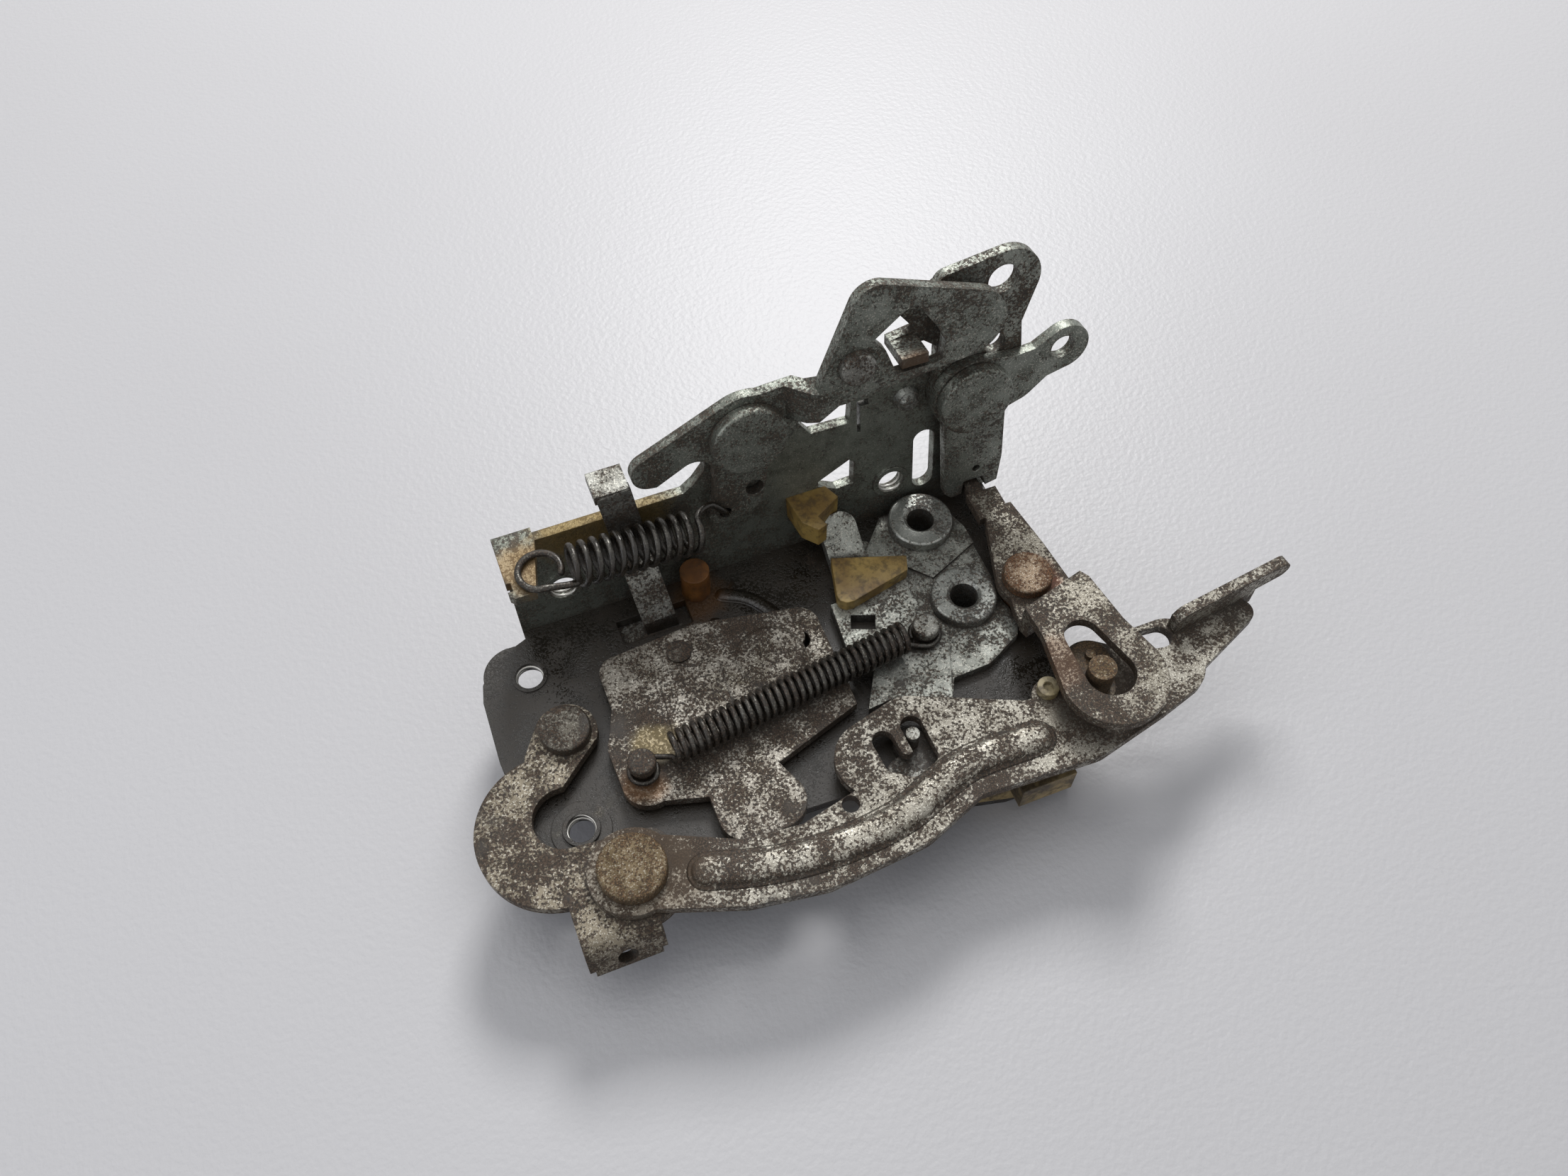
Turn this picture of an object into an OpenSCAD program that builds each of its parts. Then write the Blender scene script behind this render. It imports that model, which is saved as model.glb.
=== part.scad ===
// Car door latch: a folded frame plate with a base and an upright flange, riveted levers,
// two tension springs and nylon buffers on top, and the catch and pawl housed underneath.
// Millimetres. The origin is on the axis of the lower left fixing hole, at the underside
// of the base plate. +X runs along the fold, +Y towards the flange, +Z up.

/* [Frame plate] */
// Thickness of the frame plate
plate_t = 2; // [1.6:0.1:2.4]
// Distance from the lower fixing hole to the fold
fold_y = 40.5; // [39.5:0.25:42]
// Angle by which the flange leans back from square
flange_lean = 8; // [6:0.5:10]
// Height of the low left end of the flange
flange_low_h = 22; // [21:0.5:23]
// Height of the flange behind the lever rivets
flange_high_h = 37; // [35:0.5:39]
// Length of the frame plate along the fold
flange_len = 95; // [94:0.5:97]
// Width of the spring ear folded off the flange
ear_w = 6.9; // [6.6:0.1:7.4]
// Reach of the spring ear
ear_reach = 11; // [10:0.5:12]

/* [Fixing holes] */
// Radius of the tapped fixing holes, for an M6 screw
fix_r = 2.5; // [2.1:0.1:2.7]
// Height of the raised collar around the lower fixing hole
collar_h = 0.8; // [0.4:0.1:1]
// Rise of the pressed part of the bridge plate
joggle_h = 0.6; // [0.4:0.1:0.8]
// Distance between the two fixing holes in the base
fix_span = 31.2; // [30:0.2:32]
// Height of the fixing holes in the flange above the fold
flange_fix_h = 8.6; // [8:0.2:10]

/* [Levers] */
// Thickness of the ribbed, hooked and upper levers
lever_t = 2; // [1.5:0.1:2.2]
// Radius of the shanks that levers turn on
shank_r = 3; // [2.6:0.1:3.4]
// Radial running clearance of a lever on its shank
run_gap = 0.05; // [0.03:0.01:0.1]
// Gap between pieces that slide past each other
slide_gap = 0.1; // [0.05:0.05:0.2]
// Radius of the large rivet head at the ribbed lever
main_head_r = 5.7; // [5.2:0.1:6]
// Thickness of a rivet head
head_t = 2.2; // [1.6:0.1:2.6]
// Radius of the rivet head of the upper lever
upper_head_r = 6.8; // [6.2:0.1:7.2]
// Radius of the rivet head of the two eye levers
eye_head_r = 7; // [6.4:0.1:7.4]
// Step of the upper lever towards the front
upper_step = 4.8; // [4.7:0.1:5.4]
// Height of the pressed rib on the long lever
rib_h = 1.2; // [0.8:0.1:1.6]
// Half width of the pressed rib
rib_r = 2.3; // [1.8:0.1:2.5]
// Rise of the slotted lever from its pivot to its slot
slot_rise = 5.4; // [5.2:0.1:5.8]
// Radius of the drive pin in the slotted lever
drive_pin_r = 2.4; // [2.2:0.05:2.5]

/* [Springs] */
// Outer radius of the long tension spring
long_spring_r = 3; // [2.6:0.1:3.2]
// Wire diameter of the long tension spring
long_wire_d = 1; // [0.8:0.1:1.1]
// Coils of the long tension spring
long_coils = 33; // [28:1:35]
// Outer radius of the short tension spring
short_spring_r = 4.1; // [3.7:0.1:4.2]
// Wire diameter of the short tension spring
short_wire_d = 1.2; // [1:0.1:1.3]
// Coils of the short tension spring
short_coils = 11; // [9:1:12]

/* [Catch] */
// Radius of the bore through the two hollow rivets
bush_bore_r = 2.55; // [2.2:0.05:2.8]
// Outer radius of the hollow rivet shanks
bush_r = 4; // [3.6:0.1:4.2]
// Radius of the flanges of the hollow rivets
bush_flange_r = 6; // [5.6:0.1:6.2]
// Thickness of the catch and of the pawl
catch_t = 5; // [4:0.5:6]
// Depth of the nylon housing
housing_h = 12; // [11:0.5:14]
// Thickness of the face plate under the housing
face_t = 1.5; // [1.2:0.1:2]
// Width of the mouth that takes the striker bar
mouth_w = 10; // [9:0.5:11]

/* [Hidden] */
$fn = 64;
EPS = 0.01;
BIG = 200;

// Levels above the underside of the base plate
top_z = plate_t;
bridge_z = top_z;
bush_top_z = bridge_z + plate_t;
spring_lever_z = top_z + 1.2;
hook_z = top_z + 1.4;
ribbed_z = hook_z + lever_t + slide_gap;
main_head_z = ribbed_z + lever_t + slide_gap;
joggle_z = bush_top_z + joggle_h;
slotted_z = bush_top_z + head_t + slide_gap;
slot_plate_z = slotted_z + slot_rise;
cavity_z = -housing_h;
ear_top = plate_t * 1.6 + flange_low_h * cos(flange_lean);

// Places in the base, seen from above
fix_low = [0, 0];
fix_high = [-0.2, fix_span];
main_pivot = [5.5, -12];
hook_pin_at = [2.6, 16.5];
spring_pivot = [25.7, 24.4];
left_post_at = [12.6, 4.4];
right_post_at = [67.6, 11.8];
pawl_pivot = [76.9, 34.2];
catch_pivot = [77.5, 16.4];
slotted_pivot = [88.7, 14.3];
drive_pin_at = [89.5, -9.9];
guide_pin_at = [56.8, -6.4];
ring_at = [81.8, -7.2];
striker_at = [62, 14];
slide_slot = [17.5, 30.7];
slide_slot_y = [fold_y - 9.2, fold_y - 4.2];
peg_at = [33.4, fold_y - 3];

// Places on the flange: along the fold and up from it
flange_fix_left = [10.3, flange_fix_h];
flange_fix_right = [73.7, flange_fix_h + 0.3];
upper_pivot = [46.3, 33.1];
eye_pivot = [87.5, 28.4];
upper_pin_at = [64.3, 45.6];
dome_at = [76.6, 28.5];

// Small radii tied to the shanks
hook_pin_r = shank_r - 0.5;
spring_shank_r = shank_r / 2;
slotted_collar_r = shank_r + 1.2;

// Front face of the flange at a height, and a point given in the flange's own frame
function flange_y(z) = fold_y + (z - plate_t) * tan(flange_lean);
function on_face(x, w, v) = [x, fold_y + w * sin(flange_lean) - v * cos(flange_lean),
  plate_t + w * cos(flange_lean) + v * sin(flange_lean)];

// A flat outline joining two round ends by their common tangents. The straight part is
// EPS narrower, so that its edges cross the circles instead of only touching them.
module link(a, ra, b, rb) {
  d = b - a;
  len = norm(d);
  ang = atan2(d[1], d[0]);
  side = acos((ra - rb) / len);
  translate(a) circle(ra);
  translate(b) circle(rb);
  polygon([
    a + (ra - EPS) * [cos(ang + side), sin(ang + side)],
    a + (ra - EPS) * [cos(ang - side), sin(ang - side)],
    b + (rb - EPS) * [cos(ang - side), sin(ang - side)],
    b + (rb - EPS) * [cos(ang + side), sin(ang + side)]
  ]);
}

// A band of one radius that follows a list of points
module band(points, r) {
  for (i = [0 : len(points) - 2]) link(points[i], r, points[i + 1], r);
}

// An outline raised to a plate between two levels
module sheet(z, t) {
  translate([0, 0, z]) linear_extrude(t) children();
}

// The flange's own frame: X along the fold, Y up the flange, Z out of its front
module on_flange() {
  translate([0, fold_y, plate_t]) rotate([90 - flange_lean, 0, 0]) children();
}

// A round piece standing on a point of the plan
module post(at, z, r, h) {
  translate([at[0], at[1], z]) cylinder(r = r, h = h);
}

// A round edged rivet head
module rivet_head(r, t) {
  e = min(0.5, t / 3);
  rotate_extrude() union() {
    square([r - e, t]);
    square([r, t - e]);
    translate([r - e, t - e]) circle(e, $fn = 24);
  }
}

// A wire of round section drawn as a six sided tube along a list of points.
// The direction across the wire is carried from point to point, so the tube doesn't twist.
function unit(v) = v / norm(v);
function across(u, t) = unit(u - (u * t) * t);

module wire(path, r) {
  n = len(path);
  tang = [for (i = [0 : n - 1]) unit(path[min(i + 1, n - 1)] - path[max(i - 1, 0)])];
  side = [for (i = 0, u = across([0.1, 0.2, 0.97], tang[0]); i < n;
    i = i + 1, u = across(u, tang[min(i, n - 1)])) u];
  pts = [for (i = [0 : n - 1], k = [0 : 5])
    path[i] + r * (cos(k * 60) * side[i] + sin(k * 60) * cross(tang[i], side[i]))];
  sides = [for (i = [0 : n - 2], k = [0 : 5])
    [i * 6 + k, i * 6 + (k + 1) % 6, (i + 1) * 6 + (k + 1) % 6, (i + 1) * 6 + k]];
  polyhedron(pts, concat([[for (k = [5 : -1 : 0]) k]], sides,
    [[for (k = [0 : 5]) (n - 1) * 6 + k]]), convexity = 10);
}

// Points of the coils between two axis ends, from a start angle (-90 is below the axis)
function coil_points(a, b, r, turns, steps, start) =
  let (
    d = b - a,
    side = cross(d, [0, 0, 1]) / norm(cross(d, [0, 0, 1])),
    up = cross(side, d) / norm(d)
  )
  [for (i = [0 : turns * steps])
    let (t = start + 360 * i / steps)
    a + d * i / (turns * steps) + r * (cos(t) * side + sin(t) * up)];

// Points of a flat loop around an upright axis
function loop_points(at, r, z, from, turn) =
  [for (i = [0 : 16]) [at[0] + r * cos(from + turn * i / 16), at[1] + r * sin(from + turn * i / 16), z]];

// Frame plate

module base_outline() {
  difference() {
    union() {
      polygon([[1.2, fold_y + 1], [1.2, fold_y - 1.5], [-1.6, fold_y - 2.6], [-6, 36],
        [-8.4, 32.4], [-9.2, 29], [-9.5, 17], [-9, 9], [-8, 0], [-2, -14], [12, -17],
        [20, -14.5], [30, -10], [46, -10.6], [54, -15.5], [66, -18.5], [82, -18],
        [86, -12], [88, 6], [flange_len - 1.6, 10], [flange_len - 1.6, fold_y + 1]]);
      link([-2.2, 32.4], 5.9, [-1.5, 17], 8);
      link([0, 0], 8.4, main_pivot, 7.4);
      translate([79, -12]) circle(7);
    }
    // Corner notch beside the fold
    translate([-1.8, fold_y + 0.6]) circle(2.9);
    translate([-BIG + 1.2, fold_y - 1]) square([BIG, BIG]);
  }
}

module frame_base() {
  difference() {
    union() {
      sheet(0, plate_t) base_outline();
      // Pressed pad and raised collar around the lower fixing hole
      post(fix_low, 0, 5.1, plate_t + 0.3);
      post(fix_low, 0, fix_r + 0.7, plate_t + collar_h);
      post(fix_high, 0, fix_r + 0.7, plate_t + 0.3);
    }
    post(fix_low, -1, fix_r, plate_t + 4);
    post(fix_high, -1, fix_r, plate_t + 4);
    post(main_pivot, -1, shank_r, plate_t + 4);
    post(spring_pivot, -1, spring_shank_r, plate_t + 4);
    post(slotted_pivot, -1, shank_r, plate_t + 4);
    post(pawl_pivot, -1, bush_r, plate_t + 4);
    post(catch_pivot, -1, bush_r, plate_t + 4);
    post(peg_at, -1, 2, plate_t + 4);
    // Slot for the upright of the lock slide
    translate([slide_slot[0], slide_slot_y[0], -1])
      cube([slide_slot[1] - slide_slot[0], slide_slot_y[1] - slide_slot_y[0], 6]);
    // Curved slot swept by the pin of the hooked lever
    translate([0, 0, -1]) linear_extrude(6) hook_pin_sweep(hook_pin_r + 0.35);
  }
}

// Path of the hooked lever's pin about the main pivot
hook_travel = 8;
module hook_pin_sweep(r) {
  d = hook_pin_at - main_pivot;
  reach = norm(d);
  from = atan2(d[1], d[0]);
  to = from + hook_travel;
  for (a = [from, to]) translate(main_pivot + reach * [cos(a), sin(a)]) circle(r);
  intersection() {
    translate(main_pivot)
      difference() {
        circle(reach + r - EPS);
        circle(reach - r + EPS);
      }
    polygon([
      main_pivot,
      main_pivot + 2 * reach * [cos(from), sin(from)],
      main_pivot + 2 * reach * [cos(to), sin(to)]
    ]);
  }
}

module flange_outline() {
  difference() {
    union() {
      // Low left end, then the rise behind the upper lever and on to the right end
      translate([1.2, 0]) square([33, flange_low_h]);
      polygon([[30, 2], [30, flange_low_h], [34.4, flange_low_h], [36.6, flange_low_h + 1.6],
        [38.6, flange_low_h + 4], [39.6, flange_high_h - 5], [44, flange_high_h + 1.5],
        [50, flange_high_h + 1.5], [56, flange_high_h - 2], [70, flange_high_h - 2.5],
        [flange_len - 3, flange_high_h - 2], [flange_len - 0.4, flange_high_h - 5],
        [flange_len - 1.2, 1], [60, 0]]);
      translate([1.2, 0]) square([flange_len - 2.4, 12]);
      translate([eye_pivot[0], eye_pivot[1]]) circle(7.6);
    }
    // Window under the step of the upper lever
    polygon([[56.2, 30.2], [58.5, 26.8], [65.8, 26.6], [66.2, 31.6], [57, 31.8]]);
    // Slit and nib of the lanced tongue
    translate([67.2, 23.6]) square([0.7, 6]);
    translate([67.2, 29.6]) square([2.2, 1.4]);
    // Opening above the buffer block
    polygon([[59.4, 13.2], [59.4, 14.4], [65.6, 17.6], [66.5, 16.6], [66.3, 11.4], [63, 11.2]]);
    // Round ended slot left of the eye levers
    link([80.4, 7], 2.1, [80.4, 17], 2.1);
  }
}

module frame_flange() {
  difference() {
    union() {
      translate([0, 0, -plate_t]) linear_extrude(plate_t) flange_outline();
      translate([flange_fix_right[0], flange_fix_right[1], -plate_t])
        cylinder(r = fix_r + 1, h = plate_t + 0.4);
      translate([flange_fix_left[0], flange_fix_left[1], -plate_t])
        cylinder(r = fix_r + 1, h = plate_t + 0.4);
    }
    for (p = [flange_fix_left, flange_fix_right])
      translate([p[0], p[1], -plate_t - 1]) cylinder(r = fix_r, h = plate_t + 4);
    for (p = [upper_pivot, eye_pivot])
      translate([p[0], p[1], -plate_t - 1]) cylinder(r = shank_r, h = plate_t + 4);
    translate([dome_at[0], dome_at[1], -plate_t - 1]) cylinder(r = 1.6, h = plate_t + 4);
  }
}

// Ear folded forward off the low end of the flange, notched for the short spring
module spring_ear() {
  back = fold_y + flange_low_h * sin(flange_lean) + plate_t;
  reach = ear_reach + plate_t;
  translate([0.7, back - reach, ear_top - plate_t]) linear_extrude(plate_t)
    polygon([[0, 0.9], [0.8, 0], [4.4, 0], [5, 2.4], [6.4, 8], [ear_w, 10], [ear_w, reach],
      [0, reach], [0, 3.3], [0.9, 3.3], [0.9, 1.6], [0, 1.6]]);
}

// The folded plate is drawn as two solids that meet along the fold, at the base's top face
module base_plate() {
  color("dimgray") union() {
    frame_base();
    // Rounded fold between base and flange
    translate([1.5, fold_y, 0]) difference() {
      translate([0, -1, 0]) cube([flange_len - 3.4, 1 + plate_t * cos(flange_lean), plate_t]);
      translate([-1, plate_t * cos(flange_lean) + 0.6, -0.9]) rotate([45, 0, 0])
        cube([BIG, 1.3, 1.3]);
    }
  }
}

module flange_plate() {
  color("slategray") difference() {
    union() {
      on_flange() frame_flange();
      spring_ear();
    }
    translate([-BIG / 2, 0, plate_t - BIG]) cube([2 * BIG, BIG, BIG]);
  }
}

// Bridge plate that ties the two hollow rivets, with the ear and the seat of the spring post

module bridge_outline() {
  difference() {
    union() {
      translate(pawl_pivot) circle(6);
      translate(catch_pivot) circle(7.4);
      polygon([[63, 30], [70.5, 38.5], [82, 38.6], [84.6, 31], [84.7, 8.6], [83.6, 6.4],
        [76.4, 2.8], [69.2, 2.5], [66.9, -1.6], [57.6, 2.4], [52.6, 2], [54.6, 24], [60, 24.5]]);
      link([61, 27], 3.4, [64.2, 32.4], 3.2);
      // Root of the ear
      polygon([[57.8, 26], [57.8, 31], [64.8, 31.6], [66, 26]]);
    }
    bridge_openings();
  }
}

// Window left of the post and the slanted lower left edge
module bridge_openings() {
  polygon([[57.1, 20.7], [61.3, 19.1], [60.1, 16.3], [56, 18]]);
  translate([52, 1]) rotate([0, 0, 60]) square([9, 5]);
}

// The part pressed up around the spring post and the pawl rivet
module joggle_outline() {
  difference() {
    polygon([[52.6, 2], [57.6, 2.4], [66.9, -1.6], [72.3, 11.5], [71, 16], [69.6, 17],
      [69.2, 22.3], [71, 26.4], [74.4, 22.6], [84.7, 27], [84.6, 31], [82, 38.6], [70.5, 38.5],
      [63, 30], [60, 24.5], [54.6, 24]]);
    bridge_openings();
  }
}

// Ear bent up beside the buffer block
module bridge_ear() {
  translate([57.8, 30.6, bridge_z]) rotate([42, 0, 3]) linear_extrude(plate_t) union() {
    square([7, 9]);
    square([4.6, 11.8]);
    translate([4, 8.8]) circle(3);
  }
}

module bridge_plate() {
  color("silver") difference() {
    union() {
      sheet(bridge_z, plate_t) bridge_outline();
      sheet(bridge_z, plate_t + joggle_h) joggle_outline();
      bridge_ear();
    }
    post(pawl_pivot, 0, bush_r, 9);
    post(catch_pivot, 0, bush_r, 9);
    post(right_post_at, 0, 1.5, 9);
    // Nick around the collar of the slotted lever's rivet
    post(slotted_pivot, 0, slotted_collar_r + 0.3, 9);
  }
}

// Hollow rivets

module hollow_rivet(at, seat_z) {
  foot_z = -housing_h - face_t;
  translate([at[0], at[1], 0]) difference() {
    union() {
      translate([0, 0, seat_z]) rivet_head(bush_flange_r, head_t);
      translate([0, 0, foot_z]) cylinder(r = bush_r, h = seat_z - foot_z);
    }
    translate([0, 0, foot_z - 1]) cylinder(r = bush_bore_r, h = BIG / 2);
    // Countersink at the rim of the bore
    translate([0, 0, seat_z + head_t - 0.5])
      cylinder(r1 = bush_bore_r, r2 = bush_bore_r + 0.7, h = 0.6);
  }
}

module catch_bush() {
  color("lightgray") hollow_rivet(catch_pivot, bush_top_z);
}

module pawl_bush() {
  color("lightgray") hollow_rivet(pawl_pivot, joggle_z);
}

// Catch and pawl

catch_z = -housing_h + 2;
catch_hub_r = bush_r + 2.8;
cam_r = 11.3;
pawl_hub_r = bush_r + 1.4;
// Turn of the fork from closed to open, as it stands
catch_open = 50;

// The fork drawn closed: hub, cam for the pawl, two jaws and the web behind the striker
module catch_outline() {
  difference() {
    union() {
      translate(catch_pivot) circle(catch_hub_r);
      intersection() {
        translate(catch_pivot) circle(cam_r);
        translate(catch_pivot) polygon([[0, 0], 20 * [cos(70), sin(70)], 20 * [cos(96), sin(96)],
          20 * [cos(122), sin(122)]]);
      }
      link([74, 18], 5, [59.5, 22], 3);
      link([74.5, 9.8], 3.8, [60, 5.6], 3);
      translate([67.6, 6]) square([8, 16]);
    }
    link(striker_at, mouth_w / 2, striker_at - [12, 1], mouth_w / 2 + 0.4);
  }
}

module catch_fork() {
  color("dimgray") difference() {
    translate([catch_pivot[0], catch_pivot[1], catch_z]) rotate([0, 0, catch_open])
      linear_extrude(catch_t) translate(-catch_pivot) catch_outline();
    post(catch_pivot, -BIG / 2, bush_r + run_gap, BIG);
  }
}

// The pawl's arm rides on the cam of the open fork
module pawl_outline() {
  translate(pawl_pivot) circle(pawl_hub_r);
  link([74.5, 32], 3.4, [69.8, 27.8], 2);
}

module pawl() {
  color("dimgray") difference() {
    sheet(catch_z, catch_t) pawl_outline();
    post(pawl_pivot, -BIG / 2, bush_r + run_gap, BIG);
  }
}

// Wound return spring around a hollow rivet: closed coils and one straight leg
module wound_spring(at, wire_r, coils, leg, ang) {
  rm = bush_r + 0.3 + wire_r;
  translate([at[0], at[1], catch_z + catch_t + slide_gap]) {
    for (i = [0 : coils - 1]) translate([0, 0, wire_r * (1 + 1.9 * i)])
      rotate_extrude() translate([rm, 0]) circle(wire_r, $fn = 20);
    rotate([0, 0, ang]) translate([rm, 0, wire_r * (1 + 1.9 * (coils - 1))])
      rotate([-90, 0, 0]) cylinder(r = wire_r * 0.98, h = leg, $fn = 20);
  }
}

module catch_spring() {
  color("dimgray") wound_spring(catch_pivot, 0.6, 3, 9, 20);
}

module pawl_spring() {
  color("dimgray") wound_spring(pawl_pivot, 0.5, 3, 6, 180);
}

// Nylon housing with the cavity for catch and pawl, and its face plate

module housing_outline() {
  link([44, 12], 10, [50, 24], 8);
  link([50, 24], 8, [77.4, 34.4], 8.2);
  link([77.4, 34.4], 8.2, [80, -10], 7.5);
  link([80, -10], 7.5, [56, -5], 7);
  polygon([[44, 3], [56, -11], [80, -17], [87, -10], [87, 32], [80, 39], [50, 31], [36, 10]]);
}

// Room for catch and pawl, with a wall left all round
module cavity_outline() {
  intersection() {
    translate(catch_pivot) circle(25.4);
    polygon([[54, -5], [59, -8.6], [82, -9.2], [84.8, -6], [84.8, 31], [79, 37],
      [52, 28.6], [50.6, 24]]);
  }
  translate(pawl_pivot) circle(pawl_hub_r + 0.5);
}

module mouth_outline(w) {
  translate([striker_at[0], striker_at[1] + 1]) circle(w / 2);
  translate([striker_at[0] - w / 2, -BIG]) square([w, BIG + striker_at[1] + 1]);
}

module housing() {
  color("burlywood") difference() {
    union() {
      sheet(cavity_z, housing_h) housing_outline();
      // Foot that shows below the long lever
      translate([72, -20.2, -6]) cube([10.2, 10, 6]);
    }
    sheet(catch_z - slide_gap, housing_h) cavity_outline();
    translate([0, 0, cavity_z - 1]) linear_extrude(housing_h - 0.8) mouth_outline(mouth_w);
    post(pawl_pivot, -BIG / 2, bush_r, BIG);
    post(catch_pivot, -BIG / 2, bush_r, BIG);
    // Pocket for the tail of the slotted lever's rivet
    post(slotted_pivot, -1.5, slotted_collar_r + 0.5, 3);
  }
}

module face_plate() {
  color("lightgray") difference() {
    sheet(cavity_z - face_t, face_t) intersection() {
      housing_outline();
      translate([36, -16]) square([50, 56]);
    }
    translate([0, 0, -BIG / 2]) linear_extrude(BIG) mouth_outline(mouth_w);
    post(pawl_pivot, -BIG / 2, bush_r, BIG);
    post(catch_pivot, -BIG / 2, bush_r, BIG);
  }
}

// Ribbed long lever

module ribbed_outline() {
  difference() {
    union() {
      translate(main_pivot) circle(7.4);
      link(main_pivot, 6.4, [22, -18.8], 5.6);
      link([22, -18.8], 5.6, [34, -20.4], 5.8);
      link([34, -20.4], 5.8, [50, -18], 7);
      link([50, -18], 7, [62, -13.5], 7);
      link([62, -13.5], 7, [84, -14.8], 6.8);
      link([84, -14.8], 6.8, [97, -11.6], 7);
      // Head around the bent slot
      link([49.4, -8], 7, [57, -5.6], 6.6);
      link([57, -5.6], 6.6, [78, -14], 5.6);
      // Seat of the nylon ring
      link([82, -13], 5, [82, -8.4], 3.4);
      translate([48.6, -16]) square([14, 10]);
      // Ear around the drive pin and the arched rim beyond it
      link(drive_pin_at + [1.7, 4.3], 5, [97, -11.2], 6);
      link([100, -7.2], 5.6, [106, -7], 5.4);
      link([97, -11.6], 7, [104, -10.4], 6.2);
      // Wing of the finger arm
      link([104, -9.6], 5.4, [121, -5.4], 2.6);
    }
    // Clearance nick at the left of the head
    translate([42.2, -14.2]) circle(1.5);
    bent_slot();
    // Hole under the arched rim
    link([101, -4.4], 1.9, [105.2, -5], 2.1);
    post(main_pivot, -1, shank_r + run_gap, 3);
  }
}

// Bent slot: two lobes joined at the lower end around a tongue
module bent_slot() {
  band([[57.3, -4.8], [57.5, -10.7], [54.4, -11.7], [52, -10], [51.7, -5.7]], 1.9);
}

module finger_wall() {
  // Wall folded up along the far edge of the wing, running on as a finger
  wall_from = [107.6, -3.4];
  wall_to = [131, -0.8];
  d = wall_to - wall_from;
  translate([wall_from[0], wall_from[1] - lever_t / 2, ribbed_z])
    rotate([0, 0, atan2(d[1], d[0])]) rotate([90, 0, 0]) translate([0, 0, -lever_t / 2])
      linear_extrude(lever_t) difference() {
        union() {
          translate([0, 0]) square([17.4, 6]);
          link([2.4, 5], 2.4, [norm(d) - 1.3, 6.4], 1.9);
        }
        translate([-3, -5]) square([BIG, 5]);
      }
}

module ribbed_lever() {
  color("silver") difference() {
    union() {
      sheet(ribbed_z, lever_t) ribbed_outline();
      translate([0, 0, ribbed_z + lever_t - EPS]) rib();
      finger_wall();
    }
    post(main_pivot, -1, shank_r + run_gap, 30);
  }
}

// Pressed rib: a rounded bar along the lever
module rib() {
  pts = [[16.5, -16.4], [24, -18.6], [32, -20], [41, -20.2], [50, -19], [57, -16.4],
    [64, -14.6], [76, -14.6]];
  linear_extrude(rib_h * 0.55) band(pts, rib_r);
  linear_extrude(rib_h) band(pts, rib_r - 0.7);
}

module main_rivet() {
  color("peru") {
    translate([main_pivot[0], main_pivot[1], main_head_z]) rivet_head(main_head_r, head_t);
    post(main_pivot, -1.2, shank_r, main_head_z + 1.2 + EPS);
    // Collar under the hooked lever and the tail below the base
    post(main_pivot, top_z, shank_r + 2, hook_z - slide_gap - top_z);
    post(main_pivot, -1.2, shank_r + 1.4, 1.2);
  }
}

module drive_pin() {
  seat_z = ribbed_z + lever_t;
  color("gray") {
    // Seat plate, the pin that runs in the slotted lever, and the peg beside it
    sheet(seat_z, 1.3) link(drive_pin_at, 3.4, drive_pin_at + [1.7, 5.1], 3.4);
    post(drive_pin_at, seat_z, drive_pin_r, slot_plate_z + lever_t + 1.4 - seat_z);
    post(drive_pin_at + [1.7, 5.4], seat_z + 1, 0.9, 1.4);
  }
}

module guide_pin() {
  color("gray") {
    // Pin in the bent slot, on a small link riveted to the base
    post(guide_pin_at, top_z, 1.2, ribbed_z + lever_t + 0.5 - top_z);
    sheet(top_z, 2) band([guide_pin_at, [57.6, -10], [53.6, -11]], 3);
  }
}

module nylon_ring() {
  color("khaki") difference() {
    post(ring_at, ribbed_z + lever_t, 1.9, 1.6);
    post(ring_at, ribbed_z + lever_t + 0.6, 0.9, 3);
  }
}

// Hooked lever around the fixing hole

module hook_outline() {
  difference() {
    union() {
      translate(main_pivot) circle(8.6);
      translate([-3.7, 0.2]) circle(13.6);
      link([-1, 12.6], 4.6, hook_pin_at, 5.4);
      link(main_pivot, 6, [1, -15], 4.6);
      translate([hook_tab_x, hook_tab_y]) square([hook_tab_w, 8]);
    }
    // Open jaw around the collar of the fixing hole
    link([-2, 1.6], 5.4, [12, 1], 6.2);
    polygon([[6.9, 13.4], [2.8, 10], [-0.9, 6.9], [-4, 5.9], [-6.4, 3.8], [0, 0], [16, -1.5],
      [16, 13.4]]);
  }
}

hook_tab_x = -5.8;
hook_tab_y = -18.8;
hook_tab_w = 13;
hook_tab_len = 4.8;
hook_bend_r = 1.2;
hook_bend = 75;

// Side profile of the tab: a quarter bend and the straight end below it
module tab_profile() {
  difference() {
    circle(hook_bend_r + lever_t);
    circle(hook_bend_r);
    translate([0, -BIG]) square([BIG, 2 * BIG]);
    rotate(hook_bend - 90) translate([-BIG, -BIG]) square([2 * BIG, BIG]);
  }
  rotate(hook_bend) translate([-hook_tab_len, hook_bend_r]) square([hook_tab_len, lever_t]);
}

// Tab bent down at the lower end, with the hole for the rod clip
module hook_tab() {
  translate([hook_tab_x, hook_tab_y, hook_z - hook_bend_r]) difference() {
    rotate([90, 0, 90]) linear_extrude(hook_tab_w) tab_profile();
    rotate([hook_bend, 0, 0]) translate([hook_tab_w / 2, -hook_tab_len / 2, 0])
      cylinder(r = 1.7, h = 8);
    for (x = [-1, hook_tab_w - 0.9])
      rotate([hook_bend, 0, 0]) translate([x, -hook_tab_len - 1, 0]) cube([1.9, 2.4, 8]);
  }
}

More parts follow.
